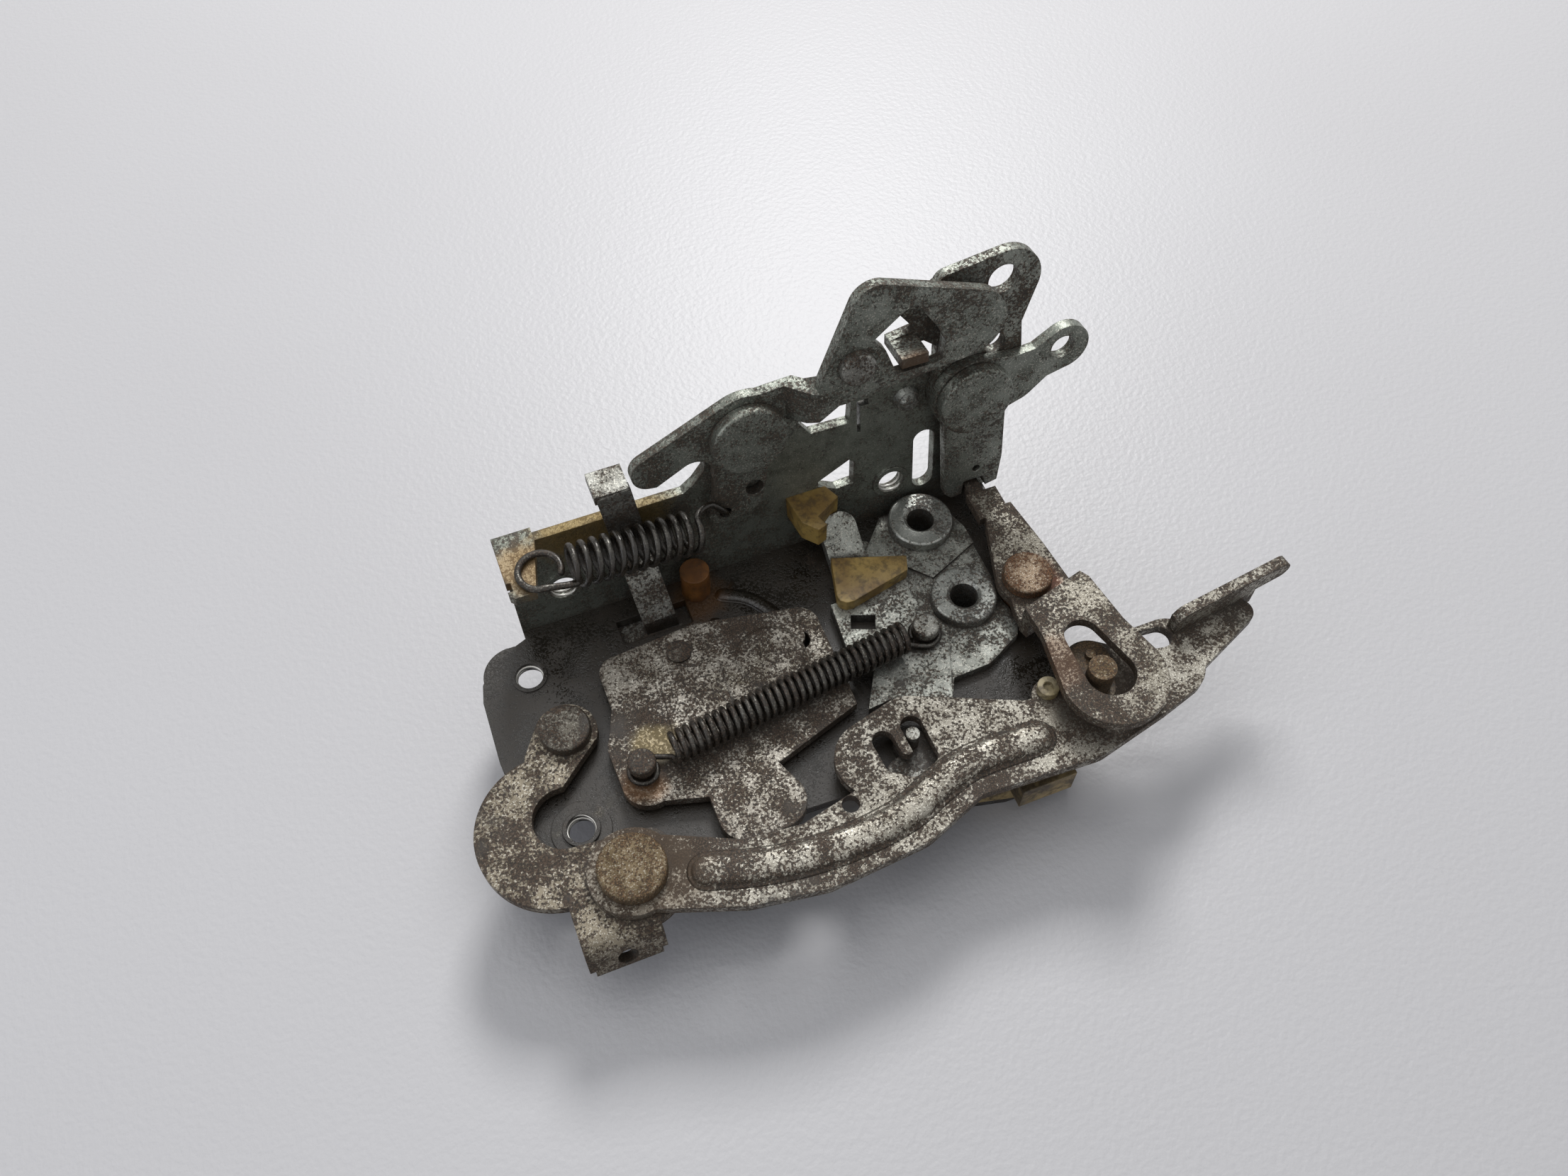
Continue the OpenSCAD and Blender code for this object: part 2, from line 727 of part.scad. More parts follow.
module hook_lever() {
  color("rosybrown") difference() {
    union() {
      sheet(hook_z, lever_t) hook_outline();
      hook_tab();
    }
    post(main_pivot, -1, shank_r + run_gap, 30);
    post(hook_pin_at, -1, hook_pin_r, 30);
  }
}

module hook_pin() {
  color("dimgray") {
    translate([hook_pin_at[0], hook_pin_at[1], hook_z + lever_t]) rivet_head(4.4, 2);
    post(hook_pin_at, -1.2, hook_pin_r, hook_z + lever_t + 1.2 + EPS);
    post(hook_pin_at, -1.4, 3.4, 1.3);
  }
}

// Spring lever under the long spring

module spring_lever_outline() {
  difference() {
    union() {
      link([14.4, 24.6], 3.2, [30, 25.4], 3.6);
      link([30, 25.4], 3.6, [47.4, 21.8], 3.8);
      link([47.4, 21.8], 3.8, [48.6, 7.4], 2.6);
      link(left_post_at + [0.4, -1.4], 4.6, left_post_at + [0, 5.6], 4.4);
      // Lobe below the long spring
      link([26, -8.6], 4.6, [31.6, -8.2], 5);
      polygon([[11.2, 18], [11.2, 24.6], [30, 28], [47.4, 23], [51.2, 8], [51, 3.5], [34.4, -1.9],
        [36.4, -7], [31.6, -8.2], [21.4, -9], [21.4, -3.5], [14, -1.4], [12.6, 3], [8.3, 10.6]]);
    }
    // Crescent opening
    difference() {
      translate([46.5, 18.9]) circle(1.9);
      translate([45.9, 20]) circle(1.9);
    }
  }
}

module spring_lever() {
  color("saddlebrown") difference() {
    union() {
      sheet(spring_lever_z, lever_t) spring_lever_outline();
      // Pressed pad and the low swelling beside it
      sheet(spring_lever_z + lever_t - EPS, 0.5)
        polygon([[19.4, 8], [20.6, 19.6], [24, 21.6], [31.6, 20], [30.8, 10.6]]);
      translate([40.5, 17.6, spring_lever_z + lever_t - EPS]) cylinder(r1 = 6.4, r2 = 5.6, h = 0.4);
    }
    post(spring_pivot, -1, spring_shank_r + run_gap, 30);
  }
}

module spring_lever_rivet() {
  head_z = spring_lever_z + lever_t + slide_gap;
  color("dimgray") {
    post(spring_pivot, head_z, 2.2, 0.4);
    post(spring_pivot, top_z, 2.8, spring_lever_z - top_z - slide_gap);
    post(spring_pivot, -0.8, spring_shank_r, head_z + 0.8 + EPS);
    post(spring_pivot, -0.8, 2.4, 0.8);
  }
}

left_post_r = 1.7;
right_post_r = 1.9;

module spring_post_left() {
  color("dimgray") {
    post(left_post_at, spring_lever_z + lever_t, left_post_r, 3.6);
    translate([left_post_at[0], left_post_at[1], spring_lever_z + lever_t + 3.6 - EPS])
      rivet_head(2.4, 1.6);
  }
}

module spring_post_right() {
  color("gray") {
    post(right_post_at, top_z, 1.5, joggle_z - top_z);
    post(right_post_at, joggle_z, right_post_r, 2.6);
    translate([right_post_at[0], right_post_at[1], joggle_z + 2.6 - EPS]) rivet_head(2.4, 1.6);
  }
}

// Long tension spring, looped around the necks of the two posts
module long_spring() {
  wire_r = long_wire_d / 2;
  rm = long_spring_r - wire_r;
  dir = (right_post_at - left_post_at) / norm(right_post_at - left_post_at);
  az = atan2(dir[1], dir[0]);
  // Loop radii, and the reach from each post to the first coil
  loop_a = left_post_r + 0.15 + wire_r;
  loop_b = right_post_r + 0.15 + wire_r;
  reach_a = 5.3;
  reach_b = 4.3;
  ends_a = left_post_at + reach_a * dir;
  ends_b = right_post_at - reach_b * dir;
  a = [ends_a[0], ends_a[1], spring_lever_z + lever_t + 3.8];
  b = [ends_b[0], ends_b[1], joggle_z + 3.6];
  path = concat(
    loop_points(left_post_at, loop_a, a[2] - rm, az + acos(loop_a / reach_a) + 300, -300),
    coil_points(a, b, rm, long_coils, 12, -90),
    loop_points(right_post_at, loop_b, b[2] - rm, az + 180 + acos(loop_b / reach_b), 300));
  color("black") wire(path, wire_r);
}

// Short tension spring: a ring on the ear of the flange, the coils, and a hook into the lever
module short_spring() {
  wire_r = short_wire_d / 2;
  rm = short_spring_r - wire_r;
  ring = [6.7, fold_y - 4.6];
  ring_r = short_spring_r - 0.5;
  a = [11.6, fold_y - 4.8, ear_top - 0.6];
  b = [34.4, flange_y(20) - 5.1, plate_t + 18];
  hook = [b + [1.8, 1.6, 3.2], on_face(38.4, 20.4, 3), on_face(40.4, 18, 3.1),
    on_face(spring_hole[0], spring_hole[1] + 0.1, 2.6), on_face(spring_hole[0], spring_hole[1], 1.4),
    on_face(spring_hole[0], spring_hole[1], 0.3)];
  path = concat(
    loop_points(ring, ring_r, ear_top + wire_r + 0.1, -390, 300),
    coil_points(a, b, rm, short_coils + 0.25, 16, 0),
    hook);
  color("dimgray") wire(path, wire_r);
}

// Slotted lever: pivot strip, step up and slotted blade

step_from = [83.2, 6];
step_to = [95.7, 9.4];
step_ang = atan2(step_to[1] - step_from[1], step_to[0] - step_from[0]);

// The strip ends in the middle of the step, the blade at its back face
module strip_outline() {
  n = [sin(step_ang), -cos(step_ang)] * lever_t / 2;
  link(slotted_pivot, 5.4, [90.4, 26], 3.6);
  polygon([step_from + n, [83.5, 8.6], [88, 30.6], [93.6, 30.6], [95, 20], step_to + n]);
  translate([86.6, 29]) square([6, 6]);
}

module slotted_blade() {
  difference() {
    union() {
      link([90.2, 3.8], 6, [91.2, -11.4], 9.2);
      polygon([step_from, step_to, [96.7, 7.8], [98.3, -3.6], [84, -8]]);
    }
    // Pear shaped slot
    link([89.9, -2.6], 3.2, [90.9, -10.6], 4.4);
    translate(step_from) rotate(step_ang) translate([-BIG / 2, 0]) square([BIG, 20]);
  }
}

module slotted_lever() {
  color("tan") difference() {
    union() {
      sheet(slotted_z, lever_t) strip_outline();
      // Tongue between the prongs of the right eye lever
      sheet(slotted_z - 0.6, lever_t) translate([87.5, 33.4]) square([2.9, fold_y - 35.3]);
      sheet(slot_plate_z, lever_t) slotted_blade();
      // Step between the two levels
      translate([step_from[0], step_from[1], slotted_z]) rotate([0, 0, step_ang])
        translate([0, -lever_t, 0]) cube([norm(step_to - step_from), lever_t, slot_rise + lever_t]);
    }
    post(slotted_pivot, -1, shank_r + run_gap, 30);
  }
}

module slotted_lever_rivet() {
  color("orangered") {
    translate([slotted_pivot[0], slotted_pivot[1], slotted_z + lever_t + slide_gap])
      rivet_head(4.5, 1.9);
    post(slotted_pivot, -1.2, shank_r, slotted_z + lever_t + slide_gap + 1.2 + EPS);
    post(slotted_pivot, top_z, slotted_collar_r, slotted_z - top_z - slide_gap);
    post(slotted_pivot, -1.2, slotted_collar_r, 1.2);
  }
}

// Levers on the flange

spring_hole = [41, 16.4];

module upper_lever_low() {
  difference() {
    union() {
      link([28.9, 31], 3.3, upper_pivot, 8.4);
      link(upper_pivot, 8, [51.6, 35.6], 5.6);
      // Hanging arm with the hole for the short spring
      link([45, 27], 5, [43.8, 19], 4.6);
      link([43.8, 19], 4.6, [40.6, 16.6], 2.6);
    }
    // Hollow edge under the tip, and the end where the step begins
    link([31, 24.2], 3.6, [36.4, 27.2], 3.4);
    translate([55.4, 20]) square([10, 30]);
    translate([46.8, 20.4]) circle(1.7);
    translate(spring_hole) circle(short_wire_d / 2 + 0.5);
    translate(upper_pivot) circle(shank_r + run_gap);
  }
}

module upper_lever_high() {
  difference() {
    union() {
      link([61.9, 42.2], 4.2, [68, 55.8], 4.4);
      link([68, 55.8], 4.4, [84.5, 47], 6.7);
      link([84.5, 47], 6.7, [61.9, 42.2], 4.2);
      polygon([[62, 42], [68, 56], [84, 47]]);
    }
    // Opening for the tab of the top eye lever
    polygon([[67.4, 49.6], [73.4, 54.2], [75, 54.2], [78.6, 48.8], [80.2, 45.8], [80.2, 44.4],
      [79.9, 41.4], [78.6, 41.1], [71.6, 41.2], [69.6, 46.8], [68.2, 48.6]]);
    translate(upper_pin_at) circle(2.2);
  }
}

// Slanted step between the two levels: its side profile within its outline from the front
module upper_lever_step() {
  low = slide_gap;
  high = slide_gap + upper_step;
  intersection() {
    translate([0, 50, 0]) rotate([90, 0, 0]) linear_extrude(20)
      polygon([[50, low], [55.4, low], [60, high], [63, high], [63, high + lever_t],
        [57.6, high + lever_t], [53.4, low + lever_t], [50, low + lever_t]]);
    linear_extrude(20)
      polygon([[50, 33.6], [50, 41.2], [57, 41.5], [61, 44.5], [61.5, 38.2], [56, 34.6]]);
  }
}

module upper_lever() {
  color("darkslategray") on_flange() {
    translate([0, 0, slide_gap]) linear_extrude(lever_t) upper_lever_low();
    translate([0, 0, slide_gap + upper_step]) linear_extrude(lever_t) upper_lever_high();
    upper_lever_step();
  }
}

module upper_rivet() {
  color("darkslategray") on_flange() translate([upper_pivot[0], upper_pivot[1], 0]) {
    translate([0, 0, lever_t + 2 * slide_gap]) rivet_head(upper_head_r, head_t);
    translate([0, 0, -plate_t - 1.4])
      cylinder(r = shank_r, h = plate_t + lever_t + 2 * slide_gap + 1.4 + EPS);
    translate([0, 0, -plate_t - 1.4]) cylinder(r = shank_r + 1.6, h = 1.4);
  }
}

module upper_pin() {
  color("white") on_flange() translate([upper_pin_at[0], upper_pin_at[1], slide_gap + upper_step]) {
    translate([0, 0, -0.8]) cylinder(r = 2.2, h = lever_t + 0.8);
    translate([0, 0, lever_t]) rivet_head(3.1, 1.7);
  }
}

module top_eye_outline() {
  difference() {
    union() {
      translate(eye_pivot) circle(7.2);
      link([93, 42], 4.6, [93.5, 49.3], 6.4);
      link([93.5, 49.3], 6.4, [83, 52], 2.4);
      polygon([[82.9, 54.3], [80.4, 52.7], [74.2, 48.9], [77.1, 45], [72.3, 44.2], [72.3, 42.2],
        [78.6, 42.2], [81.2, 40], [81, 31], [97.8, 31], [97.8, 32.3], [96.9, 43.4], [95, 52]]);
    }
    translate([92.9, 50.2]) circle(2.8);
    translate([92.3, 36.9]) circle(2);
    translate(eye_pivot) circle(shank_r + run_gap);
  }
}

module top_eye_lever() {
  color("slategray") on_flange() {
    translate([0, 0, slide_gap]) linear_extrude(lever_t) top_eye_outline();
    // Tab bent forward through the opening of the upper lever
    translate([72.3, 42.2, slide_gap]) cube([4.8, 2, upper_step + lever_t + 0.4]);
  }
}

module right_eye_outline() {
  difference() {
    union() {
      translate(eye_pivot) circle(7.4);
      link(eye_pivot, 7.4, [95.6, 29], 5.4);
      link([95.6, 29], 5.4, [100.5, 31], 3.8);
      link([100.5, 31], 3.8, [105.3, 32.9], 4.6);
      polygon([[82.2, 26], [83.2, 5], [84.6, 3.6], [86.6, 3.8], [87, 6.9], [91, 6.9],
        [91.6, 4.3], [94, 4.8], [94.6, 11], [94.3, 24]]);
    }
    translate([104.8, 33.2]) circle(2.3);
    translate([89.4, 9.5]) circle(0.8);
    translate(eye_pivot) circle(shank_r + run_gap);
  }
}

module right_eye_lever() {
  color("lightslategray") on_flange() translate([0, 0, lever_t + 2 * slide_gap])
    linear_extrude(lever_t) right_eye_outline();
}

module eye_rivet() {
  color("darkslategray") on_flange() translate([eye_pivot[0], eye_pivot[1], 0]) {
    translate([0, 0, 2 * lever_t + 3 * slide_gap]) rivet_head(eye_head_r, head_t);
    translate([0, 0, -plate_t - 1.4])
      cylinder(r = shank_r, h = plate_t + 2 * lever_t + 3 * slide_gap + 1.4 + EPS);
    translate([0, 0, -plate_t - 1.4]) cylinder(r = shank_r + 1.6, h = 1.4);
  }
}

module dome_pin() {
  color("lightgray") on_flange() translate([dome_at[0], dome_at[1], 0]) {
    translate([0, 0, -plate_t]) cylinder(r = 1.6, h = plate_t);
    cylinder(r1 = 2.6, r2 = 2.1, h = 1.2);
    translate([0, 0, 1.2]) cylinder(r1 = 1.8, r2 = 1.3, h = 0.8);
  }
}

// Lock slide: a flat bar below the base and a bent strip that rises in front of the flange

module lock_slide() {
  stem_w = 6.1;
  color("gray") {
    translate([15.5, fold_y - 10.7, -2.2]) cube([19, 8, 2]);
    // The strip leans to the left as it rises
    translate([22.2, 0, 0]) rotate([0, -5.7, 0]) rotate([90, 0, 90]) linear_extrude(stem_w)
      polygon([[fold_y - 7.5, -1.6], [fold_y - 7.5, 3.5], [flange_y(17) - 1.8, 17],
        [flange_y(30.4) - 1.8, 30.4], [flange_y(30.4) - 0.3, 30.4], [flange_y(16.6) - 0.3, 16.6],
        [fold_y - 5.9, 3.1], [fold_y - 5.9, -1.6]]);
    translate([18.9, flange_y(30) - 1.6, 29]) cube([6.2, 5.5, 2]);
  }
}

// Nylon pieces

module nylon_peg() {
  color("sienna") {
    post(peg_at, 0, 2, top_z);
    post(peg_at, top_z, 2.7, 6.6);
  }
}

module buffer_block() {
  color("goldenrod") difference() {
    translate([0, fold_y, 10]) linear_extrude(4.8)
      polygon([[53, 1.9], [60.6, 1.9], [62, -1.3], [57, -4.1], [57.8, -6.3], [56, -6.9],
        [53.8, -4.3]]);
    on_flange() translate([0, 0, -10]) cube([BIG, BIG, 10]);
    bridge_ear();
  }
}

module buffer_pad() {
  color("goldenrod") difference() {
    sheet(joggle_z, 2.6) polygon([[57.8, 31.8], [70.9, 27.3], [69.8, 24.4], [58.2, 21.8],
      [56.8, 21.9], [55.8, 22.8], [55.7, 24]]);
    bridge_ear();
  }
}

base_plate();
flange_plate();
bridge_plate();
catch_bush();
pawl_bush();
catch_fork();
pawl();
catch_spring();
pawl_spring();
housing();
face_plate();
ribbed_lever();
main_rivet();
drive_pin();
guide_pin();
nylon_ring();
hook_lever();
hook_pin();
spring_lever();
spring_lever_rivet();
spring_post_left();
spring_post_right();
long_spring();
slotted_lever();
slotted_lever_rivet();
upper_lever();
upper_rivet();
upper_pin();
top_eye_lever();
right_eye_lever();
eye_rivet();
short_spring();
lock_slide();
nylon_peg();
buffer_block();
buffer_pad();
dome_pin();
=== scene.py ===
"""A worn car door lock on its folded plate, dressed for a studio picture.

Lengths are metres in the part's own frame: X runs along the fold, Y towards the upright
flange, Z up out of the base plate. Figures in the piece formulas are millimetres times MM.
"""
import math
import bmesh
import bpy
import numpy as np
from mathutils import Matrix, Vector


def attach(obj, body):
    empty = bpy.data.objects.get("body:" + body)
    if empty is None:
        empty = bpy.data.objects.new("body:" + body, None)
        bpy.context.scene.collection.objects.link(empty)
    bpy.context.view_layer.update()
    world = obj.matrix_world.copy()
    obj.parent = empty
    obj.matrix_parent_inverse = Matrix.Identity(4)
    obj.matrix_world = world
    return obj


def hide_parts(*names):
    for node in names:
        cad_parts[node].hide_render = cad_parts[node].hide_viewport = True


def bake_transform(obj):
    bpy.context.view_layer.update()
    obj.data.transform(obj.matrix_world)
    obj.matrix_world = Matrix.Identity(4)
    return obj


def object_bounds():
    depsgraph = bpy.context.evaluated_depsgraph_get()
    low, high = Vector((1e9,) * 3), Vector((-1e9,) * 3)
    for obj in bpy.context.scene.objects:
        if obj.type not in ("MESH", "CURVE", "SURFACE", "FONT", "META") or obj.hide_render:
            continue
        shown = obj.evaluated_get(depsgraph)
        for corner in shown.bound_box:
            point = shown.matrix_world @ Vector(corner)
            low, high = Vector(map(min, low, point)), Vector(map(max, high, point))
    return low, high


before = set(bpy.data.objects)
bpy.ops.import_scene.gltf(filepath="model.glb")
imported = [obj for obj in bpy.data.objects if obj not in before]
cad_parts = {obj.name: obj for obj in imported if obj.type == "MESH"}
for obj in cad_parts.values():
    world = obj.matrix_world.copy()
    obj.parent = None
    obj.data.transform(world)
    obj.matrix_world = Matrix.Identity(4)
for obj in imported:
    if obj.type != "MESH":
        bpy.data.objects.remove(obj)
CAD_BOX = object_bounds()
MM = 0.001

# ---------------------------------------------------------------- the part's sizes

PLATE_T = 2.0
FOLD_Y = 40.5
LEAN = math.radians(8)
FLANGE_LOW_H = 22.0
LEVER_T = 2.0
SLIDE_GAP = 0.1
EAR_TOP = PLATE_T * 1.6 + FLANGE_LOW_H * math.cos(LEAN)
# Undersides of the spring lever and the ribbed lever, and the top of the bridge plate
SPRING_LEVER_Z = PLATE_T + 1.2
RIBBED_Z = PLATE_T + 1.4 + LEVER_T + SLIDE_GAP
JOGGLE_Z = PLATE_T + PLATE_T + 0.6
# The long spring's posts, and the short spring's hole as (along the fold, up the flange)
LEFT_POST = np.array([12.6, 4.4])
RIGHT_POST = np.array([67.6, 11.8])
LEFT_POST_R, RIGHT_POST_R, LOOP_PLAY = 1.7, 1.9, 0.15
SPRING_HOLE = (41.0, 16.4)
FIX_R = 2.5
# Middle line of the rib on the ribbed lever, and of the two ridges in the base
RIB = [(16.5, -16.4), (24, -18.6), (32, -20), (41, -20.2), (50, -19), (57, -16.4),
       (64, -14.6), (76, -14.6)]
OUTER_RIDGE = [(37.6, 34.7), (42.1, 31.8), (45.5, 26.0), (47.0, 20.1)]
INNER_RIDGE = [(34.2, 29.2), (38.2, 25.2), (41.5, 21.2)]


def flange_y(z):
    """The flange's front face at a height."""
    return FOLD_Y + (z - PLATE_T) * math.tan(LEAN)


def on_face(x, w, v):
    """A point given along the fold, up the flange and out of its front."""
    return np.array([x, FOLD_Y + w * math.sin(LEAN) - v * math.cos(LEAN),
                     PLATE_T + w * math.cos(LEAN) + v * math.sin(LEAN)])


FACE_OUT = on_face(0, 0, 1) - on_face(0, 0, 0)


# ---------------------------------------------------------------- meshes from formulas

def grid_mesh(name, points, caps=False):
    """A smooth mesh over an array of points P[u, v], closed round v; caps close both ends of u."""
    nu, nv = points.shape[:2]
    index = np.arange(nu * nv).reshape(nu, nv)
    index = np.hstack([index, index[:, :1]])
    faces = np.stack([index[:-1, :-1], index[:-1, 1:], index[1:, 1:], index[1:, :-1]], -1)
    faces = faces.reshape(-1, 4).tolist()
    if caps:
        faces += [index[0, :nv][::-1].tolist(), index[-1, :nv].tolist()]
    mesh = bpy.data.meshes.new(name)
    mesh.from_pydata((points.reshape(-1, 3) * MM).tolist(), [], faces)
    work = bmesh.new()
    work.from_mesh(mesh)
    bmesh.ops.remove_doubles(work, verts=work.verts, dist=0.002 * MM)
    bmesh.ops.recalc_face_normals(work, faces=work.faces)
    work.to_mesh(mesh)
    work.free()
    mesh.polygons.foreach_set("use_smooth", [True] * len(mesh.polygons))
    obj = bpy.data.objects.new(name, mesh)
    bpy.context.scene.collection.objects.link(obj)
    return obj


def smooth_path(path, k):
    """Catmull-Rom curve: each span between two points is a cubic in t, k steps long."""
    p = np.vstack([2 * path[0] - path[1], path, 2 * path[-1] - path[-2]])[:, None]
    a, b, c, d = p[:-3], p[1:-2], p[2:-1], p[3:]
    t = np.linspace(0, 1, k, endpoint=False)[None, :, None]
    curve = 0.5 * (2 * b + (c - a) * t + (2 * a - 5 * b + 4 * c - d) * t ** 2
                   + (3 * b - a - 3 * c + d) * t ** 3)
    return np.vstack([curve.reshape(-1, 3), path[-1:]])


def carried_frames(path):
    """Tangent and two crosswise directions at each station, carried along without twist."""
    tang = np.gradient(path, axis=0)
    tang /= np.linalg.norm(tang, axis=1)[:, None]
    side = np.empty_like(tang)
    u = np.array([0.1, 0.2, 0.97])
    for i, t in enumerate(tang):
        u = u - (u @ t) * t
        u = u / np.linalg.norm(u)
        side[i] = u
    return tang, side, np.cross(tang, side)


def tube(name, path, r, sides):
    """Round wire: P(i, a) = path(i) + r (cos a side(i) + sin a up(i)), with domed ends."""
    tang, side, up = carried_frames(path)
    a = np.linspace(0, 2 * math.pi, sides, endpoint=False)[None, :, None]
    circle = np.cos(a) * side[:, None] + np.sin(a) * up[:, None]
    dome = np.array([1.35, 0.9, 0.45])[:, None, None]
    start = path[0] - 0.35 * r * np.sin(dome) * tang[0] + r * np.cos(dome) * circle[:1]
    end = path[-1] + 0.35 * r * np.sin(dome) * tang[-1] + r * np.cos(dome) * circle[-1:]
    return grid_mesh(name, np.concatenate([start, path[:, None] + r * circle, end[::-1]]),
                     caps=True)


def coil_points(a, b, r, turns, steps, start):
    """Helix from a to b: a + d i/n + r (cos t side + sin t up), t from the start angle."""
    d = b - a
    side = np.cross(d, [0, 0, 1])
    side /= np.linalg.norm(side)
    up = np.cross(side, d)
    up /= np.linalg.norm(up)
    i = np.arange(int(turns * steps) + 1)
    t = np.radians(start + 360 * i / steps)[:, None]
    return a + d * (i / (turns * steps))[:, None] + r * (np.cos(t) * side + np.sin(t) * up)


def loop_points(at, r, z, start, turn):
    """A flat loop around an upright axis, in 16 steps: at + r (cos t, sin t) at height z."""
    t = np.radians(start + turn * np.arange(17) / 16)
    return np.column_stack([at[0] + r * np.cos(t), at[1] + r * np.sin(t), np.full(17, z)])


def long_spring():
    """Tension spring between the two posts: a loop, 33 coils and a loop.

    Its left loop goes round the spring lever's post and its right loop round the post on the
    plate.
    """
    wire, rm, turns, steps = 0.5, 2.5, 33, 12
    d = (RIGHT_POST - LEFT_POST) / np.linalg.norm(RIGHT_POST - LEFT_POST)
    az = math.degrees(math.atan2(d[1], d[0]))
    # Radius of each loop, and how far from its post the coils begin
    loop_a, loop_b = LEFT_POST_R + LOOP_PLAY + wire, RIGHT_POST_R + LOOP_PLAY + wire
    reach_a, reach_b = 5.3, 4.3
    ends_a, ends_b = LEFT_POST + reach_a * d, RIGHT_POST - reach_b * d
    a = np.array([*ends_a, SPRING_LEVER_Z + LEVER_T + 3.8])
    b = np.array([*ends_b, JOGGLE_Z + 3.6])
    turn_a, turn_b = (math.degrees(math.acos(q)) for q in (loop_a / reach_a, loop_b / reach_b))
    path = np.vstack([
        loop_points(LEFT_POST, loop_a, a[2] - rm, az + turn_a + 300, -300),
        coil_points(a, b, rm, turns, steps, -90),
        loop_points(RIGHT_POST, loop_b, b[2] - rm, az + 180 + turn_b, 300)])
    coil = tube("long_spring_wire", smooth_path(path, 2), wire, 10)
    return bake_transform(coil)


def short_spring():
    """Tension spring of the flange: a ring on the ear, 11 coils and a hook into the lever.

    Its ring lies on the ear and its hook goes into the upper lever.
    """
    wire, rm, turns, steps = 0.6, 3.5, 11.25, 16
    ring_at, ring_r = (6.7, FOLD_Y - 4.6), 3.6
    a = np.array([11.6, FOLD_Y - 4.8, EAR_TOP - 0.6])
    b = np.array([34.4, flange_y(20) - 5.1, PLATE_T + 18])
    x, w = SPRING_HOLE
    path = np.vstack([
        loop_points(ring_at, ring_r, EAR_TOP + wire + 0.1, -390, 300),
        coil_points(a, b, rm, turns, steps, 0),
        [b + [1.8, 1.6, 3.2], on_face(38.4, 20.4, 3), on_face(40.4, 18, 3.1),
         on_face(x, w + 0.1, 2.6), on_face(x, w, 1.4), on_face(x, w, 0.3)]])
    coil = tube("short_spring_wire", smooth_path(path, 3), wire, 12)
    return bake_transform(coil)


def pressed_bead(name, points, z, half, height, power=3.0, skirt=0.9):
    """A rounded bead pressed out of a sheet along a curve.

    Across the curve its height is H (1 - |s|^p)^(1/p) for |s| <= 1, with a small hollow fillet
    outside it. Past each end the section swings round in a half circle, and a flat underside
    sunk into the sheet closes it.
    """
    sink = 0.03
    path = smooth_path(np.column_stack([points, np.zeros(len(points))]), 6)
    tang, _, _ = carried_frames(path)
    n = np.column_stack([-tang[:, 1], tang[:, 0], np.zeros(len(path))])
    s = np.sin(np.linspace(-math.pi / 2, math.pi / 2, 17))
    out = 1 + skirt / half * np.array([0.4, 1.0])
    s = np.concatenate([-out[::-1], s, out])[None, :, None]
    up = height * (1 - np.minimum(np.abs(s[0, :, 0]), 1) ** power) ** (1 / power)
    up = np.maximum(up, 0.1 * height)
    up[[0, -1]] = -sink
    q = np.linspace(math.pi / 2, 0, 9)[:-1, None, None]
    first = path[0] + half * (s * np.cos(q) * n[0] - np.abs(s) * np.sin(q) * tang[0])
    last = path[-1] + half * (s * np.cos(q) * n[-1] + np.abs(s) * np.sin(q) * tang[-1])
    p = np.concatenate([first, path[:, None] + half * s * n[:, None], last[::-1]])
    p[:, :, 2] = z + up
    return grid_mesh(name, p)


def thread(name, centre, axis, r, length):
    """Internal thread: a helical ridge of trapezium section whose crest stands in the bore.

    P(t, k) = centre + (r + dr_k)(cos t u + sin t v) + (pitch t / 2 pi + dz_k) axis, and the
    ridge sinks into the wall at both ends.
    """
    pitch, depth = 1.0, 0.28
    axis = np.array(axis) / np.linalg.norm(axis)
    u = np.cross(axis, [1.0, 0, 0])
    u /= np.linalg.norm(u)
    v = np.cross(axis, u)
    rise = length - 0.75 * pitch
    t = np.linspace(0, 2 * math.pi * rise / pitch, int(48 * rise / pitch) + 1)[:, None]
    fade = np.clip(np.minimum(t, t[-1] - t) / 1.2, 0.05, 1)
    rad = r + np.where([[1, 0, 0, 1]], 0.05, -depth * fade)
    along = pitch * t / (2 * math.pi) - rise / 2 + pitch * np.array([[-0.36, -0.08, 0.08, 0.36]])
    p = (np.array(centre) + (rad * np.cos(t))[:, :, None] * u + (rad * np.sin(t))[:, :, None] * v
         + along[:, :, None] * axis)
    return grid_mesh(name, p, caps=True)


# ---------------------------------------------------------------- materials

# Noise scales per metre, each 1000 divided by a size on the real metal or plastic in mm
OIL_STAIN = 48        # 21 mm wide stains of old oil
RUST_PATCH = 62       # 16 mm patches where rust gathers
CLOUD = 250           # 4 mm clouds in the plating
RUST_SPECK = 1900     # 0.5 mm specks of rust
GRIT = 3600           # 0.28 mm grit of dirt and bare spots, as fine as the picture shows
PLASTIC_CLOUD = 160   # 6 mm clouds in aged plastic
GRIME = 420           # 2.4 mm spots of grime
MOULD_GRAIN = 1300    # 0.8 mm grain from the mould
BOARD_GRAIN = 900     # 1.1 mm grain of the board
BOARD_TONE = 6        # 170 mm change of tone over the board


def rgb(code):
    """Scene linear colour of an sRGB hex code."""
    c = [int(code[i:i + 2], 16) / 255 for i in (1, 3, 5)]
    return tuple(x / 12.92 if x <= 0.04045 else ((x + 0.055) / 1.055) ** 2.4 for x in c) + (1,)


